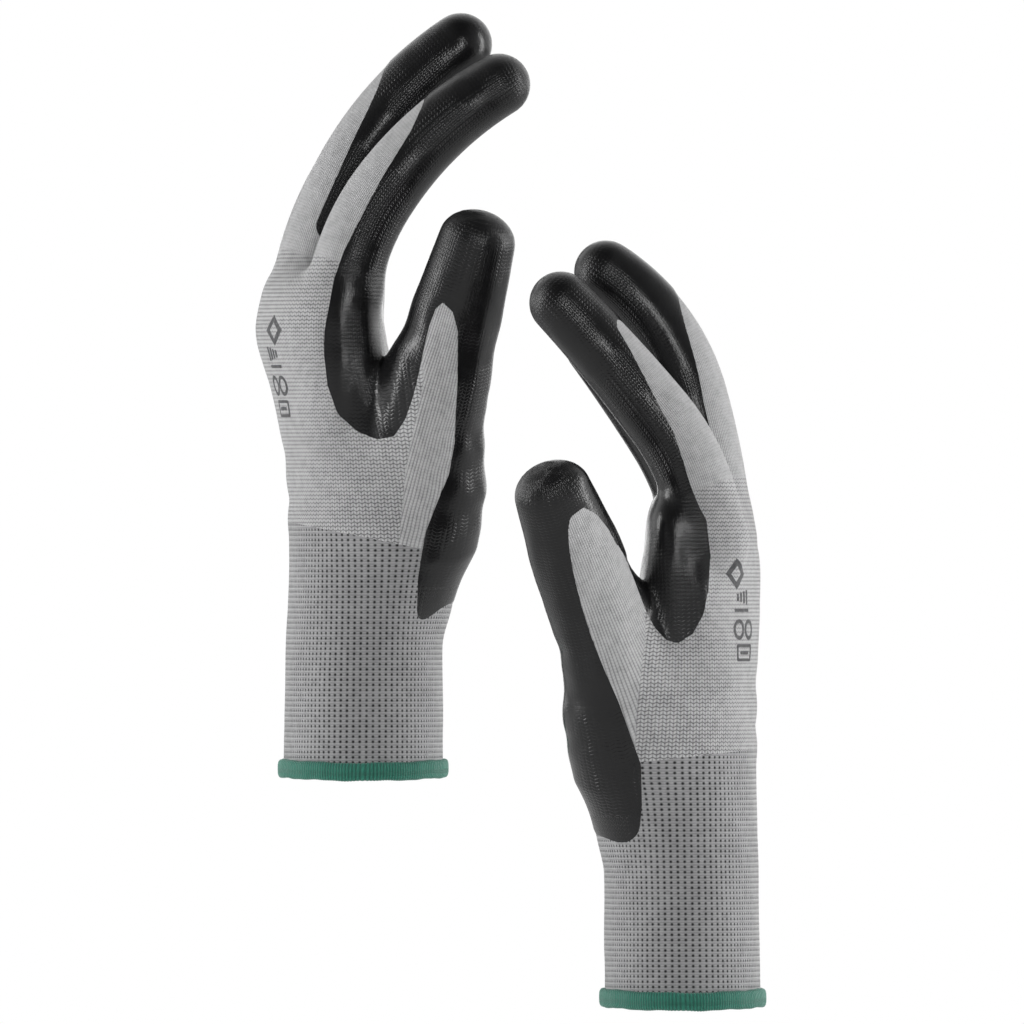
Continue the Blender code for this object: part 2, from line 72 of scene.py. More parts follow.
# Share of the palm's length, back out, front out, share of the widening, share of the bow
HAND_SECTIONS = {
    "left": (
        (-0.90, 1.2, 0.2, 0.0, 0.0),
        (-0.50, 0.6, 0.1, 0.0, 0.0),
        (-0.15, -0.5, 0.0, 0.0, 0.0),
        (0.00, -0.6, -0.4, 0.05, 0.0),
        (0.19, -0.4, -2.5, 0.38, 0.0),
        (0.38, 1.5, -6.5, 0.68, 0.2),
        (0.57, 4.5, -12.0, 0.88, 0.5),
        (0.72, 8.2, -17.0, 0.97, 0.8),
        (0.81, 10.3, -18.5, 1.00, 1.0),
        (0.88, 9.9, -19.5, 1.00, 1.0),
        (1.00, 7.6, -20.0, 1.00, 1.0),
        (1.12, 4.4, -18.5, 0.98, 1.0),
    ),
    "right": (
        (-0.90, 2.0, -2.2, 0.0, 0.0),
        (-0.50, 1.4, -2.0, 0.0, 0.0),
        (-0.15, 0.9, -1.4, 0.0, 0.0),
        (0.00, 0.6, -0.4, 0.05, 0.0),
        (0.19, 0.6, -2.0, 0.38, 0.0),
        (0.38, 0.9, -5.5, 0.68, 0.2),
        (0.57, 1.6, -9.5, 0.88, 0.5),
        (0.72, 2.0, -13.5, 0.97, 0.8),
        (0.81, 2.0, -14.6, 1.00, 1.0),
        (0.88, 1.0, -16.0, 1.00, 1.0),
        (1.00, -1.9, -16.8, 1.00, 1.0),
        (1.12, -4.4, -15.5, 0.98, 1.0),
    ),
}

# Half widths and half depths at root, middle and tip, lengths, sideways lean in degrees
FINGERS = {
    "index": ((10.0, 9.9, 9.1), (11.3, 10.9, 9.4), (28.0, 49.5), -1.5),
    "middle": ((10.0, 9.9, 9.2), (11.3, 10.9, 9.5), (31.0, 53.0), 0.0),
    "ring": ((9.8, 9.6, 8.9), (11.0, 10.5, 9.2), (29.0, 47.0), 1.5),
    "little": ((9.0, 8.7, 8.1), (10.2, 9.5, 8.4), (23.0, 36.0), 3.5),
}
# Place of the root towards the palm, bends in degrees at root, middle and tip, share of the length
FINGER_POSES = {
    "left": {
        "index": (-5.6, (14, 35, 60), 1.0),
        "middle": (-15.8, (14, 27, 55), 1.02),
        "ring": (-17.2, (12, 29, 66), 1.0),
        "little": (-4.6, (10, 27, 40), 1.0),
    },
    "right": {
        "index": (-7.6, (16, 38, 44), 0.95),
        "middle": (-11.0, (8, 15, 56), 0.89),
        "ring": (-10.8, (10, 21, 58), 0.91),
        "little": (-5.0, (18, 34, 38), 0.97),
    },
}
THUMB = ((14.4, 13.9, 11.7), (11.2, 10.4, 9.4), (19.0, 21.0))
# Place of the root towards the palm, slant in degrees, bends in degrees, extra length
THUMB_POSES = {
    "left": (24.2, 16, (-22, -20, -14), 2.6),
    "right": (26.6, 21, (-28, -36, -34), -0.4),
}
THUMB_HEIGHT_SHARE = 0.69
THUMB_OUTSIDE = 0.5
# Where the ball of the thumb starts, from the middle of the cuff's top
BALL_ROOT = {"left": (8.5, -11.0, -15.0), "right": (4.5, -11.0, -15.0)}
# Share of the ball's length, then its half width and half depth over those of the thumb's root
BALL = {
    "left": (
        (0.00, 1.30, 1.60), (0.27, 1.60, 1.72), (0.53, 1.55, 1.50), (0.76, 1.27, 1.28),
        (1.00, 1.00, 1.05),
    ),
    "right": (
        (0.00, 1.34, 1.66), (0.27, 1.55, 1.72), (0.53, 1.43, 1.50), (0.76, 1.08, 1.28),
        (1.00, 0.93, 1.05),
    ),
}
# Where the thumb's upright wales meet the rows of the hand: heights and places forward
GORE_SEAM = {
    "left": ((70, 98, 110, 122, 150), (10.5, 13.0, 15.5, 18.0, 22.0)),
    "right": ((70, 96, 117, 128, 150), (13.5, 12.0, 9.5, 10.0, 15.0)),
}
# How softly the thumb joins the hand
THUMB_WEB = {"left": 8.0, "right": 4.5}

# The coat's edge on the thumb's side, seen square to the thumb: place forward and height, from the
# index down round the web, over the thumb and down to the wrist
NEAR_EDGE = {
    "left": (
        (14.6, 203.4), (5.6, 188.8), (0.9, 180.0), (-6.3, 165.9), (-9.4, 157.2), (-11.0, 148.8),
        (-12.5, 140.6), (-12.6, 133.0), (-11.5, 123.8), (-8.5, 115.0), (-2.5, 109.5), (4.0, 106.8),
        (9.3, 107.8), (12.8, 113.1), (15.3, 120.3), (17.4, 129.0), (18.8, 136.0), (20.3, 142.2),
        (22.3, 147.6), (24.6, 149.6), (27.7, 146.6), (29.3, 140.6), (29.2, 124.4), (28.6, 114.4),
        (28.3, 105.9), (26.5, 95.9), (22.5, 86.3), (19.4, 78.4), (18.3, 73.1), (16.8, 63.4),
        (16.5, 54.0),
    ),
    "right": (
        (14.2, 204.7), (9.2, 195.0), (5.1, 186.9), (1.0, 179.7), (-1.8, 171.3), (-4.3, 163.0),
        (-7.1, 156.2), (-9.3, 152.2), (-10.5, 141.3), (-9.9, 130.9), (-8.3, 122.8), (-5.2, 117.2),
        (-0.5, 114.0), (3.2, 115.0), (6.7, 118.8), (9.2, 123.4), (11.5, 129.4), (15.4, 139.7),
        (20.1, 148.4), (24.8, 154.0), (28.9, 156.2), (33.0, 153.0), (33.7, 149.0), (33.2, 142.5),
        (31.7, 134.4), (29.5, 125.6), (26.0, 114.7), (22.3, 105.6), (17.9, 95.6), (13.9, 84.4),
        (11.0, 76.3), (10.7, 64.0), (11.2, 58.0),
    ),
}
# The same on the little finger's side: height and place forward
FAR_EDGE = (
    (40, 16.5), (49, 16.5), (64, 15.0), (80, 9.5), (98, 0.5), (112, -7.5), (124, -11.5), (140, -12.5),
    (150, -11.0), (178, -6.5),
)
# Closes the edge round the bare side, well outside the glove
EDGE_BEHIND = ((-90.0, -40.0), (-90.0, 260.0), (21.0, 260.0), (18.5, 212.0))
# Height of the coat's lower end, and how much higher it is at the front of the palm
COAT_BOTTOM = {"left": (49.5, 6.0), "right": (52.0, 3.0)}
# On a finger: share of its length, and how far towards the palm the edge lies, in half depths
FINGER_EDGE = (
    (0.00, -0.36), (0.18, -0.28), (0.36, -0.26), (0.50, -0.38), (0.62, -0.54), (0.72, -0.82),
    (0.80, -1.20), (0.87, -1.70), (1.30, -2.50),
)
# The coat's full thickness, that at its edge, the width it thins over, and its depth in the knit
COAT_WALL = 0.45
COAT_LIP = 0.06
COAT_FADE = 1.6
COAT_SINK = 0.15
LINER_WALL = 1.0
# Where the hand's knit meets the cuff's: height, and rise for each millimetre forward
CUFF_SEAM = {"left": (76.2, -0.20), "right": (78.3, -0.11)}
# Lower corner of the mark on the back, the girth of hand that it is drawn for, and its ink
PRINT_CORNER = {"left": (-27.0, -32.0, 113.5), "right": (-20.5, -34.0, 108.0)}
PRINT_ROUND = 208.0
INK_OUT, INK_IN = 0.09, -0.05

# Knit: columns round the piece, and height of a row
HAND_KNIT = (138, 1.22)
DIGIT_KNIT = (54, 0.95)
DIGIT_PRINT_THROUGH = (40, 1.15)
CUFF_KNIT = (128, 1.62)
HEM_LOOPS = 190
HEM_STEPS = 22

# The grid that the form is read on, and how far from the surface its distances are kept
VOXEL = 1.4
LOW = np.array((-42.0, -80.0, -4.0))
HIGH = np.array((64.0, 56.0, 250.0))
FAR_OUT = 6.0
# The open lower end of the form, inside the hem
OPEN_HEIGHT = 1.2
SMALLEST_CUT = 0.08
# How far round its centre line a digit is looked for, and how near its surface a point is its own
DIGIT_REACH = 19.0
ON_DIGIT = 4.0
INDEX_OWNER, THUMB_OWNER = 0, 4
# Which way each glove's palm faces along X, and where it stands
PLACES = {"left": (1, np.zeros(3)), "right": (-1, np.array(RIGHT_PLACE))}

# The room, in metres
VIEW_SIZE = 0.320
VIEW_CENTRE = (0.0462, -0.060, 0.0841)
LENS, SENSOR = 1500.0, 36.0
FLOOR_HEIGHT, FLOOR_REACH = -0.12, 2.6
LIT_POINT = (0.04, -0.06, 0.08)
LIGHT_POWER = 6.5
# Place and size of each softbox
LIGHTS = {
    "front_strip": ((0.28, -1.7, 0.30), (0.07, 1.0)),
    "side_left": ((-0.95, -0.20, 0.20), (0.18, 1.0)),
    "side_right": ((1.05, -0.10, 0.20), (0.18, 1.0)),
}


def smooth_step(x, low, high):
    t = np.clip((x - low) / (high - low), 0.0, 1.0)
    return t * t * (3 - 2 * t)


def soft_min(a, b, reach):
    h = np.clip(0.5 + 0.5 * (b - a) / reach, 0.0, 1.0)
    return b + (a - b) * h - reach * h * (1 - h)


def soft_max(a, b, reach):
    return -soft_min(-a, -b, reach)


def soft_curve(xs, ys, at, width=4.0):
    """Reads a line through stations, rounded over a width."""
    total = 0.0
    for shift in (-1.0, -0.5, 0.0, 0.5, 1.0):
        total = total + np.interp(at + shift * width, xs, ys)
    return total / 5


def knuckle_half():
    return (sum(2 * f[0][0] for f in FINGERS.values()) + 3 * FINGER_GAP) / 2 + PALM_MARGIN


def knuckle_height(across):
    share = (across - KNUCKLE_PEAK) / knuckle_half()
    return CUFF_LENGTH + PALM_LENGTH - KNUCKLE_DROP * share * share


def ends_of(faces):
    """The two ends of every side of every triangle."""
    return np.concatenate([faces[:, [0, 1]], faces[:, [1, 2]], faces[:, [2, 0]]])


def turn_of(points, faces):
    """Each triangle's normal, not made to unit length."""
    a, b, c = (points[faces[:, k]] for k in range(3))
    return np.cross(b - a, c - a)


class Digit:
    """A bent centre line with sections, in the glove's own frame."""

    def __init__(self, name, root, forward, pad, bends, widths, depths, lengths, lean=0.0, below=14.0):
        self.name = name
        self.inner, self.outer = lengths
        self.length = self.inner + self.outer
        self.axis = np.cross(forward, pad)
        self.widths, self.depths = widths, depths
        self.stops = (0.0, self.inner, self.length)
        lean = math.tan(math.radians(lean))
        step = 0.5
        above = np.arange(0.0, self.length + step / 2, step)
        bend = np.radians(np.interp(above, self.stops, bends))
        ahead = np.outer(np.cos(bend), forward) + np.outer(np.sin(bend), pad)
        middle = (ahead[1:] + ahead[:-1]) / 2
        line = np.vstack([np.zeros(3), np.cumsum(middle * step, axis=0)]) + root
        line[:, 1] += lean * above
        under = np.arange(-below, -step / 2, step)
        lower = root + np.outer(under, ahead[0])
        self.s = np.concatenate([under, above])
        self.line = np.vstack([lower, line])
        self.ahead = np.vstack([np.repeat(ahead[:1], len(under), 0), ahead])
        self.palm = np.cross(self.axis, self.ahead)
        if np.dot(self.palm[0], pad) < 0:
            self.palm = -self.palm

    def point(self, s):
        """A place on the centre line."""
        return np.array([np.interp(s, self.s, self.line[:, k]) for k in range(3)])

    def near(self, points):
        """Which points can lie on the digit or beside it."""
        low, high = self.line.min(0) - DIGIT_REACH, self.line.max(0) + DIGIT_REACH
        return np.flatnonzero(((points > low) & (points < high)).all(1))

    def read(self, points):
        """Distance, place along, across and towards the palm, for each point."""
        out = np.empty((4, len(points)))
        for a in range(0, len(points), 20000):
            part = points[a:a + 20000]
            gap = ((part[:, None, :] - self.line[None]) ** 2).sum(2)
            i = gap.argmin(1)
            rel = part - self.line[i]
            along = (rel * self.ahead[i]).sum(1)
            inner = (i > 0) & (i < len(self.s) - 1)
            s = self.s[i] + along
            across = rel @ self.axis
            deep = (rel * self.palm[i]).sum(1)
            cap = np.where(inner, 0.0, along)
            width = np.interp(s, self.stops, self.widths)
            depth = np.interp(s, self.stops, self.depths)
            share = np.sqrt((across / width) ** 2 + (deep / depth) ** 2 + (cap / depth) ** 2) + 1e-9
            length = np.sqrt(across ** 2 + deep ** 2 + cap ** 2) + 1e-9
            out[:, a:a + 20000] = length * (1 - 1 / share), s, across, deep
            centre = share < 0.05
            out[0, a:a + 20000][centre] = -width[centre]
        return out


def make_digits(side):
    digits = {}
    across = PALM_MARGIN - knuckle_half()
    for name, (widths, depths, lengths, lean) in FINGERS.items():
        across += widths[0]
        forward, bends, filled = FINGER_POSES[side][name]
        root = np.array((forward, across, knuckle_height(across) + ROOT_SEAT))
        lengths = (lengths[0], lengths[1] * filled)
        digits[name] = Digit(name, root, np.array((0, 0, 1.0)), np.array((1.0, 0, 0)), bends, widths,
                             depths, lengths, lean)
        across += widths[0] + FINGER_GAP
    forward, slant, bends, longer = THUMB_POSES[side]
    slant = math.radians(slant)
    height = CUFF_LENGTH + PALM_LENGTH * THUMB_HEIGHT_SHARE
    root = np.array((forward, -knuckle_half() - THUMB_OUTSIDE, height))
    ahead = np.array((math.sin(slant), 0, math.cos(slant)))
    widths, depths, (inner, outer) = THUMB
    digits["thumb"] = Digit("thumb", root, ahead, np.array((0, 1.0, 0)), bends, widths, depths,
                            (inner, outer + longer), below=8.0)
    return digits


class Form:
    """The whole glove as a distance field, with the coordinates its looks are drawn in."""

    def __init__(self, side):
        self.side = side
        self.digits = make_digits(side)
        sections = np.array(HAND_SECTIONS[side])
        self.heights = CUFF_LENGTH + sections[:, 0] * PALM_LENGTH
        self.sections = sections
        thumb = self.digits["thumb"]
        self.ball_low = np.array((0.0, 0.0, CUFF_LENGTH)) + BALL_ROOT[side]
        self.ball_high = thumb.point(-ROOT_SEAT)

    def hand_values(self, z):
        """Back, front, half width and bow of the hand's section at each height."""
        back = -CUFF_DEPTH / 2 - soft_curve(self.heights, self.sections[:, 1], z)
        front = CUFF_DEPTH / 2 + soft_curve(self.heights, self.sections[:, 2], z)
        wider = knuckle_half() - CUFF_WIDTH / 2
        half = CUFF_WIDTH / 2 + soft_curve(self.heights, self.sections[:, 3], z) * wider
        bow = KNUCKLE_BOW * soft_curve(self.heights, self.sections[:, 4], z)
        return back, front, half, bow

    def hand(self, p):
        """Distance to the palm and cuff: rounded squares, stacked, with a soft roof at the knuckles."""
        back, front, half, bow = self.hand_values(p[:, 2])
        u = p[:, 1] / half
        depth = (front - back) / 2
        v = (p[:, 0] - (back + front) / 2 - bow * np.minimum(u * u, 1.5)) / depth
        n = SQUARENESS
        au, av = np.abs(u) + 1e-9, np.abs(v) + 1e-9
        g = (au ** n + av ** n) ** (1 / n)
        gu = np.sign(u) * (au / g) ** (n - 1)
        gv = np.sign(v) * (av / g) ** (n - 1)
        slope = np.sqrt((gv / depth) ** 2 + (gu / half - gv * 2 * bow * u / (half * depth)) ** 2)
        inside = (g - 1) / np.maximum(slope, 1e-4)
        roof = p[:, 2] - (knuckle_height(p[:, 1]) + 7.0)
        return soft_max(inside, roof, 9.0)

    def ball(self, p):
        """Distance to the ball of the thumb."""
        way = self.ball_high - self.ball_low
        length = np.linalg.norm(way)
        ahead = way / length
        thumb = self.digits["thumb"]
        rel = p - self.ball_low
        along = np.clip(rel @ ahead, 0.0, length)
        rel = rel - np.outer(along, ahead)
        share = along / length
        table = np.array(BALL[self.side])
        wide = np.interp(share, table[:, 0], table[:, 1]) * thumb.widths[0]
        deep = np.interp(share, table[:, 0], table[:, 2]) * thumb.depths[0]
        over = rel @ ahead
        rel = rel - np.outer(over, ahead)
        a = rel @ thumb.axis
        b = np.sqrt(np.maximum((rel ** 2).sum(1) - a * a, 0))
        r = np.sqrt((a / wide) ** 2 + (b / deep) ** 2 + (over / 16.0) ** 2) + 1e-9
        d = np.sqrt(a * a + b * b + over * over)
        return np.where(r < 0.05, -deep, d * (1 - 1 / r))

    def creases(self, p):
        """Slight folds of the knit: at the wrist, round the thumb's root and across the palm."""
        x, y, z = p.T
        fold = 0.30 * np.sin(z * 0.42 + 1.6 * np.sin(y * 0.09 + 0.4) + x * 0.05)
        fold *= smooth_step(z, 72, 84) * (1 - smooth_step(z, 98, 118))
        rope = 0.22 * np.sin(x * 0.75 + 1.3 * np.sin(z * 0.08) + y * 0.1)
        rope *= smooth_step(z, 96, 108) * (1 - smooth_step(z, 140, 152)) * smooth_step(-y, 34, 42)
        slack = 0.22 * np.sin(z * 0.17 + y * 0.13 + 0.7) * np.sin(y * 0.21 - x * 0.11)
        slack *= smooth_step(z, 8, 20) * (1 - smooth_step(z, 150, 165))
        return fold + rope + slack

    def field(self, p):
        body = soft_min(self.hand(p), self.ball(p), 9.0)
        fingers = np.full(len(p), FAR_OUT * 3)
        for name, digit in self.digits.items():
            near = digit.near(p)
            if not len(near):
                continue
            d = digit.read(p[near])[0]
            if name == "thumb":
                body[near] = soft_min(body[near], d, THUMB_WEB[self.side])
            else:
                fingers[near] = np.minimum(fingers[near], d)
        return soft_min(body, fingers, 4.5) - self.creases(p)

    def mesh(self):
        """Points, triangles and outward normals of the form."""
        shape = np.ceil((HIGH - LOW) / VOXEL).astype(int) + 1
        axes = [LOW[k] + VOXEL * np.arange(shape[k]) for k in range(3)]
        grid = np.stack(np.meshgrid(*axes, indexing="ij"), -1).reshape(-1, 3)
        values = np.clip(self.field(grid), -FAR_OUT, FAR_OUT).reshape(shape)
        volume = openvdb.FloatGrid(FAR_OUT)
        volume.copyFromArray(values.astype(np.float32))
        points, triangles, quads = volume.convertToPolygons(isovalue=0.0, adaptivity=0.0)
        points = points.astype(float) * VOXEL + LOW
        faces = np.concatenate([triangles, quads[:, [0, 1, 2]], quads[:, [0, 2, 3]]]).astype(int)
        slopes = np.gradient(values, VOXEL)

        def sample(array, at):
            q = np.clip((at - LOW) / VOXEL, 0, np.array(shape) - 1.001)
            i = q.astype(int)
            f = q - i
            total = 0.0
            for corner in range(8):
                c = np.array([(corner >> k) & 1 for k in range(3)])
                weight = np.prod(np.where(c, f, 1 - f), axis=1)
                j = i + c
                total = total + weight * array[j[:, 0], j[:, 1], j[:, 2]]
            return total

        edges = np.unique(np.sort(ends_of(faces), axis=1), axis=0)
        count = np.bincount(edges.reshape(-1), minlength=len(points))[:, None]
        for _ in range(4):
            mean = np.zeros_like(points)
            np.add.at(mean, edges[:, 0], points[edges[:, 1]])
            np.add.at(mean, edges[:, 1], points[edges[:, 0]])
            move = mean / count - points
            slope = np.stack([sample(a, points) for a in slopes], 1)
            normal = slope / (np.linalg.norm(slope, axis=1, keepdims=True) + 1e-9)
            move -= normal * (move * normal).sum(1, keepdims=True)
            points = points + 0.5 * move
            size = np.maximum((slope ** 2).sum(1), 0.05)
            step = np.clip(sample(values, points) / size, -0.8, 0.8)
            points = points - 0.9 * step[:, None] * slope
        slope = np.stack([sample(a, points) for a in slopes], 1)
        normal = slope / (np.linalg.norm(slope, axis=1, keepdims=True) + 1e-9)
        if (turn_of(points, faces) * normal[faces[:, 0]]).sum() < 0:
            faces = faces[:, ::-1]
        keep = points[faces][:, :, 2].min(1) > OPEN_HEIGHT
        faces = faces[keep]
        used = np.unique(faces)
        index = np.full(len(points), -1)
        index[used] = np.arange(len(used))
        return points[used], index[faces], normal[used]

    def girth(self, p):
        """Share of the way round the hand's section, from the thumb's side over the back."""
        back, front, half, bow = self.hand_values(p[:, 2])
        u = p[:, 1] / half
        v = (p[:, 0] - (back + front) / 2 - bow * np.minimum(u * u, 1.5)) / ((front - back) / 2)
        angle = np.arctan2(v, u)
        ratio = np.median((front - back) / 2 / half)
        t = np.linspace(-math.pi, math.pi, 721)
        x = np.sign(np.cos(t)) * np.abs(np.cos(t)) ** (2 / SQUARENESS)
        y = np.sign(np.sin(t)) * np.abs(np.sin(t)) ** (2 / SQUARENESS)
        seen = np.unwrap(np.arctan2(y, x))
        run = np.concatenate([[0], np.cumsum(np.hypot(np.diff(x), np.diff(y) * ratio))])
        return np.interp(angle, seen, run / run[-1])

    def coordinates(self, p):
        """Everything the pieces and materials need, for points on the form."""
        data = {key: np.zeros(len(p)) for key in ("s", "turn", "deep")}
        data["girth"] = self.girth(p)
        data["owner"] = np.full(len(p), -1)
        best = np.full(len(p), 1e9)
        for k, digit in enumerate(self.digits.values()):
            near = digit.near(p)
            d, s, across, deep = digit.read(p[near])
            d = np.where(s > -9.0, np.abs(d), 50.0)
            closer = d < best[near]
            at = near[closer]
            best[at] = d[closer]
            data["owner"][at] = k
            data["s"][at] = s[closer]
            data["deep"][at] = deep[closer]
            width = np.interp(s[closer], digit.stops, digit.widths)
            depth = np.interp(s[closer], digit.stops, digit.depths)
            data["turn"][at] = np.arctan2(deep[closer] / depth, across[closer] / width) / math.tau + 0.5
        data["near"] = best
        thumb = data["owner"] == THUMB_OWNER
        start = np.where(thumb, -6.0, -2.0)
        span = np.where(thumb, 16.0, 9.0)
        data["mix"] = np.where(best < ON_DIGIT, smooth_step(data["s"], start, start + span), 0.0)
        self.add_gore(p, data, thumb)
        return data

    def add_gore(self, p, data, thumb):
        """Lets the thumb's upright wales run down the ball as far as their seam with the hand's rows."""
        x, y, z = p.T
        gore = np.flatnonzero((x > 2) & (y < 5) & (z > 60) & (z < 150)
                              & (thumb | (data["near"] > ON_DIGIT) | (z < 140)))
        digit = self.digits["thumb"]
        _, s, across, deep = digit.read(p[gore])
        turn = np.arctan2(deep / digit.depths[0], across / digit.widths[0]) / math.tau + 0.5
        seam = np.interp(p[gore, 2], *GORE_SEAM[self.side])
        share = smooth_step(p[gore, 0] - seam, -1.2, 1.2) * (1 - smooth_step(p[gore, 1], -12, -2))
        take = share > data["mix"][gore]
        at = gore[take]
        data["mix"][at] = share[take]
        data["s"][at] = np.where(thumb[at], data["s"][at], s[take])
        data["turn"][at] = np.where(thumb[at], data["turn"][at], turn[take])

    def coat(self, p, data):
        """Distance inside the coat's edge, in millimetres, negative where the knit is bare."""
        edge = np.array(NEAR_EDGE[self.side])
        near = self.near_distance(p[:, [0, 2]], edge)
        table = np.array(FAR_EDGE)
        far = p[:, 0] - soft_curve(table[:, 0], table[:, 1], p[:, 2])
        thumb = self.digits["thumb"]
        z = p[:, 2]
        limit = np.interp(z, (60, 123, 131, 142, 154), (-16, -38, -38, -36, -30))
        high = smooth_step(z, 134, 146) * (p[:, 1] < -35)
        middle = np.interp(z, thumb.line[:, 2], thumb.line[:, 1])
        owner_thumb = (data["owner"] == THUMB_OWNER) & (data["near"] < ON_DIGIT)
        limit = np.where(owner_thumb, limit * (1 - high) + (middle - 3.0) * high, limit)
        share = smooth_step(p[:, 1], limit, limit + 8.0)
        far = np.where(owner_thumb & (share > 0.5), np.maximum(far, 3.0), far)
        hand = near * (1 - share) + far * share
        bottom, rise = COAT_BOTTOM[self.side]
        foot = z - (bottom + rise * smooth_step(p[:, 0], 16, 28))
        hand = soft_min(hand, foot, 7.0 if self.side == "right" else 3.5)
        length = np.array([digit.length for digit in self.digits.values()])[data["owner"]]
        depth = np.array([np.mean(digit.depths) for digit in self.digits.values()])[data["owner"]]
        table = np.array(FINGER_EDGE)
        finger = data["deep"] - soft_curve(table[:, 0], table[:, 1], data["s"] / length, 0.05) * depth
        on_finger = (data["owner"] >= 0) & (data["owner"] < THUMB_OWNER) & (data["near"] < ON_DIGIT)
        blend = np.where(on_finger, smooth_step(data["s"], 2.0, 13.0), 0.0)
        index = self.digits["index"]
        outer = p[:, 1] - np.interp(data["s"], index.s, index.line[:, 1])
        outer = np.where(data["owner"] == INDEX_OWNER, 1 - smooth_step(outer, -5.0, 4.0), 0.0)
        finger = finger * (1 - outer) + near * outer
        return hand * (1 - blend) + finger * blend

    @staticmethod
    def near_distance(q, edge):
        """Signed distance to the edge line, positive towards the palm and the fingertips."""
        closed = np.vstack([edge, (edge[-1][0], EDGE_BEHIND[0][1]), *EDGE_BEHIND])
        best = np.full(len(q), 1e9)
        inside = np.zeros(len(q), bool)
        count = len(closed)
        for i in range(count):
            a, b = closed[i], closed[(i + 1) % count]
            way = b - a
            t = np.clip(((q - a) @ way) / (way @ way), 0, 1)
            gap = np.linalg.norm(q - a - np.outer(t, way), axis=1)
            best = np.minimum(best, gap)
            cross = (a[1] > q[:, 1]) != (b[1] > q[:, 1])
            with np.errstate(divide="ignore", invalid="ignore"):
                x = a[0] + (q[:, 1] - a[1]) / (b[1] - a[1]) * way[0]
            inside ^= cross & (q[:, 0] < x)
        return np.where(inside, -best, best)


def guard(value):
    """Moves a cutting line off the points that it would all but touch."""
    return np.where(np.abs(value) < SMALLEST_CUT, SMALLEST_CUT, value)


def clip(points, faces, value, extras):
    """The part of the mesh where value is above zero, cut along its zero line."""
    value = guard(value)
    up = value > 0
    count = up[faces].sum(1)
    whole = faces[count == 3]
    new_points, new_extras, made, lookup = [], [], [], {}

    def cut(a, b):
        key = (a, b) if a < b else (b, a)
        if key not in lookup:
            a, b = key
            t = value[a] / (value[a] - value[b])
            lookup[key] = len(points) + len(new_points)
            new_points.append(points[a] + (points[b] - points[a]) * t)
            new_extras.append(extras[a] + (extras[b] - extras[a]) * t)
        return lookup[key]

    for face in faces[count == 1]:
        k = int(np.flatnonzero(up[face])[0])
        a, b, c = face[k], face[(k + 1) % 3], face[(k + 2) % 3]
        made.append((a, cut(a, b), cut(a, c)))
    for face in faces[count == 2]:
        k = int(np.flatnonzero(~up[face])[0])
        a, b, c = face[k], face[(k + 1) % 3], face[(k + 2) % 3]
        ab, ca = cut(a, b), cut(a, c)
        made += [(ab, b, c), (ab, c, ca)]
    if new_points:
        points = np.vstack([points, new_points])
        extras = np.vstack([extras, new_extras])
        value = np.concatenate([value, np.zeros(len(new_points))])
    faces = np.vstack([whole, np.array(made, int).reshape(-1, 3)])
    return points, faces, np.maximum(value, 0), extras


def add_piece(name, side, points, faces, normals, layers):
    """A mesh object from a glove's own millimetres, with the normals of the smooth form."""
    hand, place = PLACES[side]
    world = points * np.array((hand, 1, 1)) + place
    mesh = bpy.data.meshes.new(name)
    turned = faces if hand > 0 else faces[:, ::-1]
    mesh.from_pydata((world * MM).tolist(), [], turned.tolist())
    mesh.shade_smooth()
    for key, values in layers.items():
        kind, field = ("FLOAT", "value") if values.ndim == 1 else ("FLOAT_VECTOR", "vector")
        attribute = mesh.attributes.new(key, kind, "POINT")
        attribute.data.foreach_set(field, values.astype(np.float32).reshape(-1))
    mesh.normals_split_custom_set_from_vertices((normals * np.array((hand, 1, 1))).tolist())
    thing = bpy.data.objects.new(name, mesh)
    bpy.context.scene.collection.objects.link(thing)
    return thing


def subset(faces, *arrays):
    """The triangles renumbered, and only the points that they use."""
    used = np.unique(faces)
    index = np.full(used[-1] + 1, -1)
    index[used] = np.arange(len(used))
    return (index[faces], *[a[used] for a in arrays])


def shell(points, faces, normals, out, inner):
    """A closed skin between two offsets of an open surface."""
    count = len(points)
    both = np.vstack([points + normals * np.reshape(gap, (-1, 1)) for gap in (out, inner)])
    ends = ends_of(faces)
    _, first, times = np.unique(np.sort(ends, axis=1), axis=0, return_index=True, return_counts=True)
    rim = ends[first[times == 1]]
    a, b = rim[:, 0], rim[:, 1]
    walls = np.concatenate([np.stack([b, a, a + count], 1), np.stack([b, a + count, b + count], 1)])
    return both, np.concatenate([faces, faces[:, ::-1] + count, walls]), np.vstack([normals, -normals])


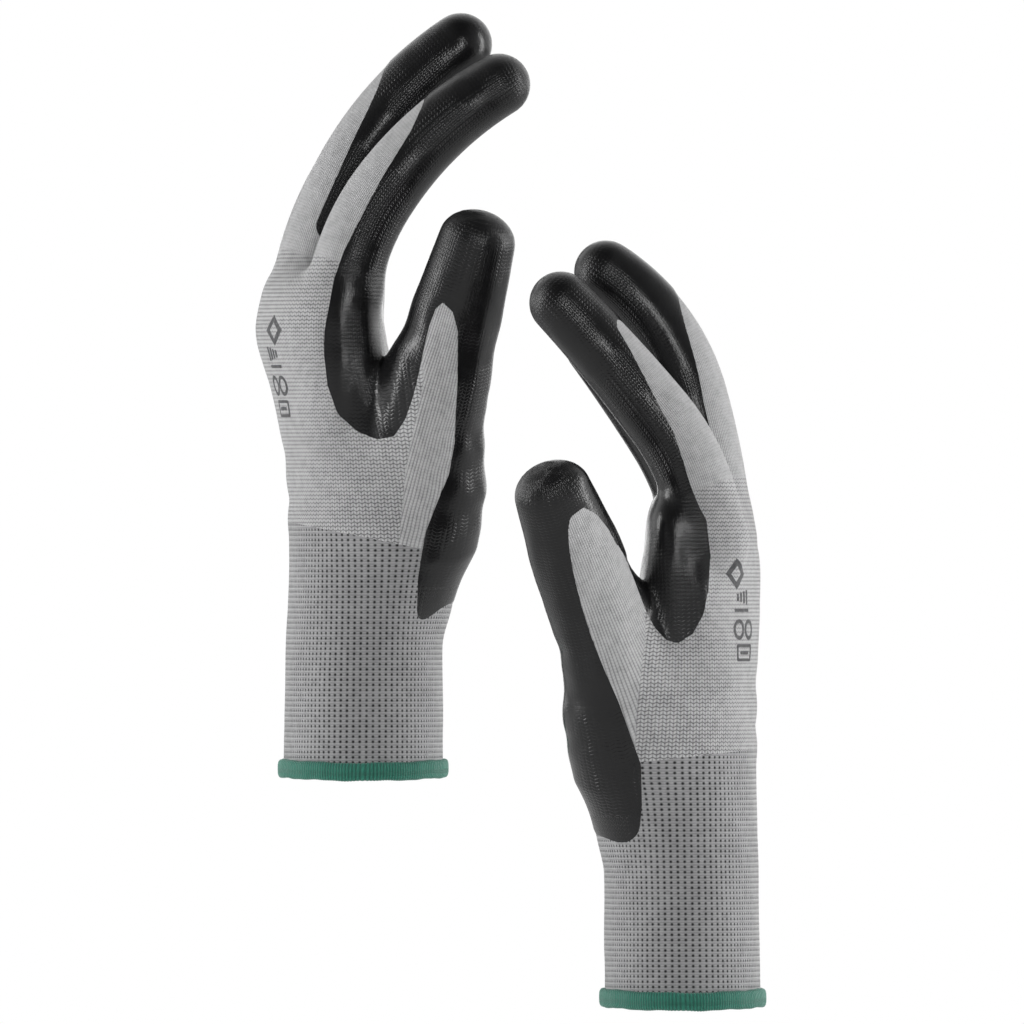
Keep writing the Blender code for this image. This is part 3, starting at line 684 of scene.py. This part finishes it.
class Graph:
    """Short names for building a material's nodes."""

    def __init__(self, name):
        self.material = bpy.data.materials.new(name)
        self.material.use_nodes = True
        self.tree = self.material.node_tree
        self.shader = self.tree.nodes["Principled BSDF"]

    def node(self, kind, **settings):
        made = self.tree.nodes.new(kind)
        for key, value in settings.items():
            setattr(made, key, value)
        return made

    def put(self, socket, value):
        if isinstance(value, bpy.types.NodeSocket):
            self.tree.links.new(value, socket)
        else:
            socket.default_value = value

    def math(self, operation, a, b=0.0, c=0.0, clamp=False):
        made = self.node("ShaderNodeMath", operation=operation, use_clamp=clamp)
        for socket, value in zip(made.inputs, (a, b, c)):
            self.put(socket, value)
        return made.outputs[0]

    def attribute(self, name):
        return self.node("ShaderNodeAttribute", attribute_name=name).outputs

    def split(self, name):
        parts = self.node("ShaderNodeSeparateXYZ")
        self.tree.links.new(self.attribute(name)["Vector"], parts.inputs[0])
        return parts.outputs

    def step(self, value, low, high):
        made = self.node("ShaderNodeMapRange", interpolation_type="SMOOTHSTEP")
        self.put(made.inputs["Value"], value)
        made.inputs["From Min"].default_value = low
        made.inputs["From Max"].default_value = high
        return made.outputs["Result"]

    def mix(self, share, a, b):
        made = self.node("ShaderNodeMix", data_type="FLOAT")
        for key, value in ((0, share), (2, a), (3, b)):
            self.put(made.inputs[key], value)
        return made.outputs[0]

    def mix_colour(self, share, a, b):
        made = self.node("ShaderNodeMix", data_type="RGBA")
        self.put(made.inputs[0], share)
        self.put(made.inputs[6], a)
        self.put(made.inputs[7], b)
        return made.outputs[2]

    def noise(self, scale, detail=2.0):
        made = self.node("ShaderNodeTexNoise")
        made.inputs["Scale"].default_value = scale
        made.inputs["Detail"].default_value = detail
        source = self.node("ShaderNodeTexCoord").outputs["Object"]
        self.tree.links.new(source, made.inputs["Vector"])
        return made.outputs["Fac"]

    def bump(self, height, distance, strength):
        made = self.node("ShaderNodeBump")
        made.inputs["Strength"].default_value = strength
        made.inputs["Distance"].default_value = distance
        self.put(made.inputs["Height"], height)
        self.tree.links.new(made.outputs[0], self.shader.inputs["Normal"])


def around(g, way, count):
    """How far across its wale a point lies, 0 in the middle and 1 between two wales."""
    turn = g.math("ARCTAN2", way[1], way[0])
    place = g.math("MULTIPLY", turn, count / math.tau)
    place = g.math("SUBTRACT", g.math("FRACT", g.math("ADD", place, 50.5)), 0.5)
    return g.math("MULTIPLY", g.math("ABSOLUTE", place), 2.0)


def jersey(g, way, count, course, slit=1.0, groove=0.55):
    """Height of plain knit: columns of V stitches, from 0 between the yarns to 1."""
    across = around(g, way, count)
    rise = g.math("DIVIDE", way[2], course)
    lean = g.math("SUBTRACT", rise, g.math("MULTIPLY", across, 0.45))
    phase = g.math("FRACT", g.math("ADD", lean, 200.0))
    gap = g.math("ABSOLUTE", g.math("SUBTRACT", g.math("MULTIPLY", phase, 2.0), 1.0))
    yarn = g.math("SUBTRACT", 1.0, g.math("MULTIPLY", g.math("POWER", gap, 3.4), slit))
    leg = g.math("ABSOLUTE", g.math("SUBTRACT", g.math("MULTIPLY", across, 2.0), 1.0))
    leg = g.math("SUBTRACT", 1.0, g.math("MULTIPLY", g.math("POWER", leg, 2.5), groove))
    return g.math("MULTIPLY", yarn, leg)


def lattice(g, way, count, course):
    """Height of the elastic cuff knit: rows of small deep eyes between soft loops."""
    across = around(g, way, count)
    rise = g.math("FRACT", g.math("ADD", g.math("DIVIDE", way[2], course), 200.0))
    up = g.math("ABSOLUTE", g.math("SUBTRACT", g.math("MULTIPLY", rise, 2.0), 1.0))
    a = g.math("MULTIPLY", g.math("SUBTRACT", 1.0, across), 1.25)
    eye = g.math("SQRT", g.math("ADD", g.math("MULTIPLY", a, a), g.math("MULTIPLY", up, up)))
    eye = g.step(eye, 0.22, 0.80)
    thread = g.math("SINE", g.math("MULTIPLY", way[2], math.tau * 2 / course))
    return g.math("MULTIPLY", eye, g.math("ADD", 0.86, g.math("MULTIPLY", thread, 0.14)))


def knit_material(name, cuff):
    g = Graph(name)
    hand, digit = g.split("hand_way"), g.split("digit_way")
    if cuff:
        height = lattice(g, hand, *CUFF_KNIT)
    else:
        own = jersey(g, hand, *HAND_KNIT)
        other = jersey(g, digit, *DIGIT_KNIT, slit=0.35, groove=0.75)
        other = g.math("ADD", 0.18, g.math("MULTIPLY", other, 0.82))
        share = g.step(g.attribute("digit_share")["Fac"], 0.35, 0.65)
        height = g.mix(share, own, other)
    uneven = g.noise(420.0, 2.0)
    cloud = g.noise(60.0, 3.0)
    # Painted shade: the colour follows the knit's height. The grooves between the yarns are painted dark
    # and the cuff's eyes near black, as the shade in those hollows. The two noises add random unevenness of
    # tone.
    shade = g.math("ADD", height, g.math("MULTIPLY", g.math("SUBTRACT", uneven, 0.5), 0.5))
    shade = g.math("ADD", shade, g.math("MULTIPLY", g.math("SUBTRACT", cloud, 0.5), 0.25), clamp=True)
    dark = (0.012, 0.012, 0.013, 1) if cuff else (0.05, 0.05, 0.052, 1)
    light = (0.35, 0.35, 0.355, 1) if cuff else (0.53, 0.53, 0.535, 1)
    colour = g.mix_colour(shade, dark, light)
    g.put(g.shader.inputs["Base Color"], colour)
    g.shader.inputs["Roughness"].default_value = 0.78
    g.shader.inputs["Specular IOR Level"].default_value = 0.35
    g.shader.inputs["Sheen Weight"].default_value = 0.35
    g.shader.inputs["Sheen Roughness"].default_value = 0.45
    g.bump(height, 0.35 * MM, 0.75)
    return g.material


def coat_material():
    g = Graph("black_coat")
    hand, digit = g.split("hand_way"), g.split("digit_way")
    share = g.step(g.attribute("digit_share")["Fac"], 0.35, 0.65)
    own = jersey(g, hand, *HAND_KNIT)
    print_through = g.mix(share, own, jersey(g, digit, *DIGIT_PRINT_THROUGH))
    patch = g.step(g.noise(55.0, 3.0), 0.38, 0.62)
    fine = g.noise(900.0, 2.0)
    dips = g.noise(120.0, 2.0)
    height = g.math("MULTIPLY", print_through, g.math("ADD", 0.12, g.math("MULTIPLY", patch, 0.60)))
    height = g.math("ADD", height, g.math("MULTIPLY", dips, 0.9))
    height = g.math("ADD", height, g.math("MULTIPLY", fine, 0.40))
    colour = g.mix_colour(dips, (0.004, 0.004, 0.0044, 1), (0.009, 0.009, 0.0094, 1))
    g.put(g.shader.inputs["Base Color"], colour)
    rough = g.math("ADD", 0.12, g.math("MULTIPLY", g.noise(260.0, 3.0), 0.20))
    g.put(g.shader.inputs["Roughness"], rough)
    g.shader.inputs["Specular IOR Level"].default_value = 0.36
    g.bump(height, 0.17 * MM, 0.8)
    return g.material


def hem_material():
    g = Graph("green_thread")
    way = g.split("hem_way")
    twist = g.math("MULTIPLY", way[0], 160 * math.tau * 2)
    twist = g.math("SINE", g.math("ADD", twist, g.math("MULTIPLY", way[1], 9.0)))
    ply = g.math("ADD", g.math("MULTIPLY", twist, 0.5), 0.5)
    # Painted shade: the thread is darker green where the overlock loops and the plies dip, and lighter
    # where they stand up. The noise adds random unevenness of tone.
    shade = g.math("ADD", g.math("MULTIPLY", way[2], 0.7), g.math("MULTIPLY", ply, 0.2), clamp=True)
    uneven = g.math("SUBTRACT", g.noise(700.0, 2.0), 0.5)
    shade = g.math("ADD", shade, g.math("MULTIPLY", uneven, 0.35), clamp=True)
    colour = g.mix_colour(shade, (0.003, 0.055, 0.038, 1), (0.012, 0.215, 0.145, 1))
    g.put(g.shader.inputs["Base Color"], colour)
    g.shader.inputs["Roughness"].default_value = 0.7
    g.shader.inputs["Sheen Weight"].default_value = 0.3
    g.bump(g.math("ADD", ply, g.noise(1200.0, 2.0)), 0.12 * MM, 0.6)
    return g.material


def print_material():
    g = Graph("dark_ink")
    worn = g.noise(900.0, 3.0)
    colour = g.mix_colour(g.step(worn, 0.35, 0.75), (0.035, 0.035, 0.038, 1), (0.10, 0.10, 0.105, 1))
    g.put(g.shader.inputs["Base Color"], colour)
    g.shader.inputs["Roughness"].default_value = 0.6
    g.bump(worn, 0.08 * MM, 0.5)
    return g.material


KNIT = knit_material("grey_jersey", False)
CUFF = knit_material("grey_elastic_cuff", True)
COAT = coat_material()
HEM = hem_material()
INK = print_material()


def digit_spans(digit):
    """Where a digit's pieces part and bend, along its centre line."""
    start = 8.0 if digit.name == "thumb" else 9.0
    full = start + 0.36 * digit.inner
    part = full + 1.2
    return {"cut": start - 1.5, "bend": (start, full), "middle_cut": part,
            "middle_bend": (part + 0.8, digit.inner + 8.0)}


def attach(thing, side, digit, part):
    """Finds the two points on a digit's centre line between which its piece would bend, and bakes the
    piece's place into its mesh; nothing here bends it or ties it to a body.
    """
    hand, place = PLACES[side]
    spans = digit_spans(digit)
    ends = spans["bend"] if part == "base" else spans["middle_bend"]
    start, end = ((digit.point(s) * np.array((hand, 1, 1)) + place) * MM for s in ends)
    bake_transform(thing)


def layers_of(data, points):
    """What the materials read, for each point: see named_layers."""
    girth, turn = data["girth"] * math.tau, data["turn"] * math.tau
    return np.column_stack([np.cos(girth), np.sin(girth), points[:, 2],
                            np.cos(turn), np.sin(turn), data["s"], data["mix"]])


def named_layers(table):
    return {"hand_way": table[:, 0:3], "digit_way": table[:, 3:6], "digit_share": table[:, 6]}


def make_hem(form):
    """A band of overlock thread, whose loops stand up as relief."""
    side = form.side
    t = np.linspace(0, math.tau, HEM_LOOPS * 5, endpoint=False)
    phi = np.linspace(0, math.tau, HEM_STEPS, endpoint=False)
    grid_t, phi = np.meshgrid(t, phi, indexing="ij")
    back, front, half, _ = (float(v[0]) for v in form.hand_values(np.array([4.0])))
    power = 2 / SQUARENESS
    unit_y = np.sign(np.cos(grid_t)) * np.abs(np.cos(grid_t)) ** power
    unit_x = np.sign(np.sin(grid_t)) * np.abs(np.sin(grid_t)) ** power
    loop = np.abs(np.cos(grid_t * HEM_LOOPS / 2 + 0.25 * np.sin(phi)))
    swell = 0.20 * loop ** 0.7 + 0.06 * np.sin(grid_t * 23 + 1) - 0.12
    out = 0.1 + (1.65 + swell) * np.sign(np.cos(phi)) * np.abs(np.cos(phi)) ** 0.62
    up = 2.7 + (2.85 + swell) * np.sign(np.sin(phi)) * np.abs(np.sin(phi)) ** 0.62
    mid_x, depth = (front + back) / 2, (front - back) / 2
    x = mid_x + unit_x * (depth + out)
    y = unit_y * (half + out)
    z = up + 1.0 * (unit_x ** 2) + 0.12 * np.sin(grid_t * 9)
    points = np.stack([x, y, z], -1).reshape(-1, 3)
    index = np.arange(points.shape[0]).reshape(grid_t.shape)
    a, b = index, np.roll(index, -1, 0)
    c, d = np.roll(b, -1, 1), np.roll(a, -1, 1)
    faces = np.concatenate([np.stack([a, b, c], -1).reshape(-1, 3), np.stack([a, c, d], -1).reshape(-1, 3)])
    normal = turn_of(points, faces)
    middle = points[faces].mean(1)
    ring = np.column_stack([np.full(len(middle), mid_x), np.zeros(len(middle)), middle[:, 2]])
    away = middle - ring
    outer = np.abs(away).sum(1) > np.median(np.abs(away).sum(1))
    if (normal[outer] * away[outer]).sum() < 0:
        faces = faces[:, ::-1]
        normal = -normal
    smooth = np.zeros_like(points)
    for k in range(3):
        np.add.at(smooth, faces[:, k], normal)
    smooth /= np.linalg.norm(smooth, axis=1, keepdims=True) + 1e-12
    way = np.column_stack([grid_t.reshape(-1) / math.tau, phi.reshape(-1), loop.reshape(-1)])
    hem = add_piece(f"{side}_hem_band", side, points, faces, smooth, {"hem_way": way})
    hem.data.materials.append(HEM)
    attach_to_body(hem, f"{side}_hand")
    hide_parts(f"{side}_hem")


def box_gap(x, y, wide, tall):
    """Distance to a flat box, given its half sizes."""
    qx, qy = np.abs(x) - wide, np.abs(y) - tall
    return np.hypot(np.maximum(qx, 0), np.maximum(qy, 0)) + np.minimum(np.maximum(qx, qy), 0)


def mark_gap(a, z):
    """Distance to a plain mark that stands for nothing: a lozenge, bars, two rings and a framed bar."""
    lozenge = (np.abs(a) + np.abs(z - 27.5)) / 1.414 - 3.4
    lozenge = np.maximum(lozenge, -(lozenge + 1.5))
    shapes = [lozenge]
    for k in range(4):
        shapes.append(box_gap(a - 6.2 + 1.9 * k, z - 20.2, 0.5, 2.2 - 0.35 * k))
    shapes.append(box_gap(a - 3.0, z - 16.2, 4.4, 0.45))
    shapes.append(np.abs(np.hypot(a - 0.8, z - 10.2) - 2.6) - 0.55)
    shapes.append(np.abs(np.hypot(a - 7.6, z - 10.2) - 2.6) - 0.55)
    frame_gap = box_gap(a - 4.4, z - 3.0, 4.6, 2.0) - 0.6
    shapes.append(np.abs(frame_gap + 0.4) - 0.42)
    shapes.append(box_gap(a - 4.4, z - 3.0, 2.9, 0.5))
    return np.minimum.reduce(shapes)


def finer(points, faces, rest):
    """Each triangle in four."""
    key, index = np.unique(np.sort(ends_of(faces), axis=1), axis=0, return_inverse=True)
    count, n = len(points), len(faces)
    index = index.reshape(-1)
    ab, bc, ca = index[:n] + count, index[n:2 * n] + count, index[2 * n:] + count
    a, b, c = faces.T
    made = np.concatenate([np.stack(t, 1) for t in ((a, ab, ca), (ab, b, bc), (ca, bc, c), (ab, bc, ca))])
    return (np.vstack([points, (points[key[:, 0]] + points[key[:, 1]]) / 2]), made,
            np.vstack([rest, (rest[key[:, 0]] + rest[key[:, 1]]) / 2]))


def make_print(form, points, faces, normals):
    """The mark on the back, as a thin skin of ink that follows the knit."""
    side = form.side
    x, y, low = PRINT_CORNER[side]
    near = (np.abs(points[faces].mean(1) - np.array((x, y + 4.0, low + 16.0))) < (16.0, 20.0, 20.0)).all(1)
    near &= normals[faces[:, 0], 0] < 0.35
    index, p, n = subset(faces[near], points, normals)
    for _ in range(2):
        p, index, n = finer(p, index, n)
    n /= np.linalg.norm(n, axis=1, keepdims=True)
    zero = form.girth(np.array([(x, y, low)]))[0]
    along = (form.girth(p) - zero) * PRINT_ROUND
    p, index, _, n = clip(p, index, -mark_gap(along, p[:, 2] - low), n)
    index, p, n = subset(index, p, n)
    n /= np.linalg.norm(n, axis=1, keepdims=True)
    both, made, turned = shell(p, index, n, INK_OUT, INK_IN)
    mark = add_piece(f"{side}_back_mark", side, both, made, turned, {})
    mark.data.materials.append(INK)
    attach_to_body(mark, f"{side}_hand")
    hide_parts(f"{side}_back_print")


def labels_of(form, faces, data):
    """Which piece each triangle belongs to: 0 for the hand and cuff, then a base and a tip per digit."""
    label = np.zeros(len(faces), int)
    for k, digit in enumerate(form.digits.values()):
        spans = digit_spans(digit)
        mine = ((data["owner"] == k) & (data["near"] < ON_DIGIT))[faces].all(1)
        low = data["s"][faces].min(1)
        label[mine & (low > spans["cut"])] = 2 * k + 1
        label[mine & (low > spans["middle_cut"])] = 2 * k + 2
    return label


def digit_parts(form):
    """The label, digit and part name of each digit's two pieces."""
    for k, digit in enumerate(form.digits.values()):
        yield 2 * k + 1, digit, "base"
        yield 2 * k + 2, digit, "tip"


def dressed(name, side, surface, out, inner, material, replaced):
    """A closed piece in one material, made from an open surface, in place of its CAD node."""
    points, faces, rest = surface
    normals = rest[:, :3] / (np.linalg.norm(rest[:, :3], axis=1, keepdims=True) + 1e-12)
    both, made, turned = shell(points, faces, normals, out, inner)
    layers = named_layers(np.vstack([rest[:, 3:]] * 2))
    thing = add_piece(f"{side}_{name}", side, both, made, turned, layers)
    thing.data.materials.append(material)
    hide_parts(f"{side}_{replaced}")
    return thing


def make_knit(form, points, faces, label, extras):
    """The knitted hand, the cuff and two pieces for each digit."""
    side = form.side

    def knit(name, p, index, rest, material, replaced):
        index, p, rest = subset(index, p, rest)
        return dressed(name, side, (p, index, rest), 0.0, -LINER_WALL, material, replaced)

    height, rise = CUFF_SEAM[side]
    over_cuff = guard(points[:, 2] - (height + rise * points[:, 0]))
    hand_faces = faces[label == 0]
    p, index, _, rest = clip(points, hand_faces, over_cuff, extras)
    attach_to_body(knit("hand_knit", p, index, rest, KNIT, "palm_liner"), f"{side}_hand")
    p, index, _, rest = clip(points, hand_faces, -over_cuff, extras)
    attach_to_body(knit("cuff_knit", p, index, rest, CUFF, "cuff"), f"{side}_hand")
    for number, digit, part in digit_parts(form):
        name = f"{digit.name}_{part}"
        thing = knit(f"{name}_knit", points, faces[label == number], extras, KNIT, f"{name}_liner")
        attach(thing, side, digit, part)


def make_coat(form, points, faces, label, extras, edge):
    """The dipped coat of the palm and of each digit's two pieces, thinning to its edge."""
    side = form.side

    def coat(number, name, replaced):
        p, index, inside, rest = clip(points, faces[label == number], edge, extras)
        index, p, inside, rest = subset(index, p, inside, rest)
        thick = COAT_LIP + (COAT_WALL - COAT_LIP) * smooth_step(inside, 0.0, COAT_FADE)
        return dressed(name, side, (p, index, rest), thick, -COAT_SINK, COAT, replaced)

    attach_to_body(coat(0, "palm_dip", "palm_coat"), f"{side}_hand")
    for number, digit, part in digit_parts(form):
        name = f"{digit.name}_{part}"
        attach(coat(number, f"{name}_dip", f"{name}_coat"), side, digit, part)


def make_glove(side):
    form = Form(side)
    points, faces, normals = form.mesh()
    data = form.coordinates(points)
    label = labels_of(form, faces, data)
    extras = np.column_stack([normals, layers_of(data, points)])
    make_knit(form, points, faces, label, extras)
    make_coat(form, points, faces, label, extras, form.coat(points, data))
    make_hem(form)
    make_print(form, points, faces[label == 0], normals)


for glove_side in ("left", "right"):
    make_glove(glove_side)


def make_floor():
    mesh = bpy.data.meshes.new("floor")
    sides = ((-1, -1), (1, -1), (1, 1), (-1, 1))
    corners = [(x * FLOOR_REACH, y * FLOOR_REACH, FLOOR_HEIGHT) for x, y in sides]
    mesh.from_pydata(corners, [], [(0, 1, 2, 3)])
    floor = bpy.data.objects.new("floor", mesh)
    bpy.context.scene.collection.objects.link(floor)
    g = Graph("pale_floor")
    g.shader.inputs["Base Color"].default_value = (0.86, 0.86, 0.86, 1)
    g.shader.inputs["Roughness"].default_value = 0.9
    mesh.materials.append(g.material)


def make_light(name, place, size):
    data = bpy.data.lights.new(name, "AREA")
    data.shape = "RECTANGLE"
    data.size, data.size_y = size
    data.energy = LIGHT_POWER
    lamp = bpy.data.objects.new(name, data)
    lamp.location = place
    lamp.rotation_mode = "QUATERNION"
    lamp.rotation_quaternion = (Vector(LIT_POINT) - Vector(place)).to_track_quat("-Z", "Y")
    bpy.context.scene.collection.objects.link(lamp)


def make_world():
    """Plain white to the camera, and to the gloves a studio that is brighter at its sides and back."""
    world = bpy.data.worlds.new("studio")
    bpy.context.scene.world = world
    world.use_nodes = True
    tree = world.node_tree
    tree.nodes.clear()
    link = tree.links.new
    out = tree.nodes.new("ShaderNodeOutputWorld")
    path = tree.nodes.new("ShaderNodeLightPath")
    coordinates = tree.nodes.new("ShaderNodeTexCoord")
    parts = tree.nodes.new("ShaderNodeSeparateXYZ")
    link(coordinates.outputs["Generated"], parts.inputs[0])

    def math_node(operation, a, b=0.0, clamp=False):
        made = tree.nodes.new("ShaderNodeMath")
        made.operation = operation
        made.use_clamp = clamp
        for socket, value in zip(made.inputs, (a, b)):
            if isinstance(value, bpy.types.NodeSocket):
                link(value, socket)
            else:
                socket.default_value = value
        return made.outputs[0]

    sides = math_node("POWER", math_node("ABSOLUTE", parts.outputs[0]), 2.5)
    behind = math_node("MAXIMUM", parts.outputs[1], 0.0)
    level = math_node("ADD", math_node("MULTIPLY", sides, 0.85), math_node("MULTIPLY", behind, 1.5))
    level = math_node("ADD", level, 0.07)
    studio = tree.nodes.new("ShaderNodeBackground")
    link(level, studio.inputs["Strength"])
    plain = tree.nodes.new("ShaderNodeBackground")
    plain.inputs["Strength"].default_value = 1.0
    for background in (studio, plain):
        background.inputs["Color"].default_value = (1, 1, 1, 1)
    mix = tree.nodes.new("ShaderNodeMixShader")
    link(path.outputs["Is Camera Ray"], mix.inputs[0])
    link(studio.outputs[0], mix.inputs[1])
    link(plain.outputs[0], mix.inputs[2])
    link(mix.outputs[0], out.inputs["Surface"])


def make_camera():
    data = bpy.data.cameras.new("camera")
    data.lens = LENS
    data.sensor_width = SENSOR
    data.clip_start, data.clip_end = 1.0, 100.0
    camera = bpy.data.objects.new("camera", data)
    x, y, z = VIEW_CENTRE
    camera.location = (x, y - VIEW_SIZE * LENS / SENSOR, z)
    camera.rotation_euler = (math.radians(90), 0, 0)
    bpy.context.scene.collection.objects.link(camera)
    bpy.context.scene.camera = camera


make_floor()
make_world()
make_camera()
for light_name, (light_place, light_size) in LIGHTS.items():
    make_light(light_name, light_place, light_size)
bpy.context.scene.view_settings.view_transform = "Standard"
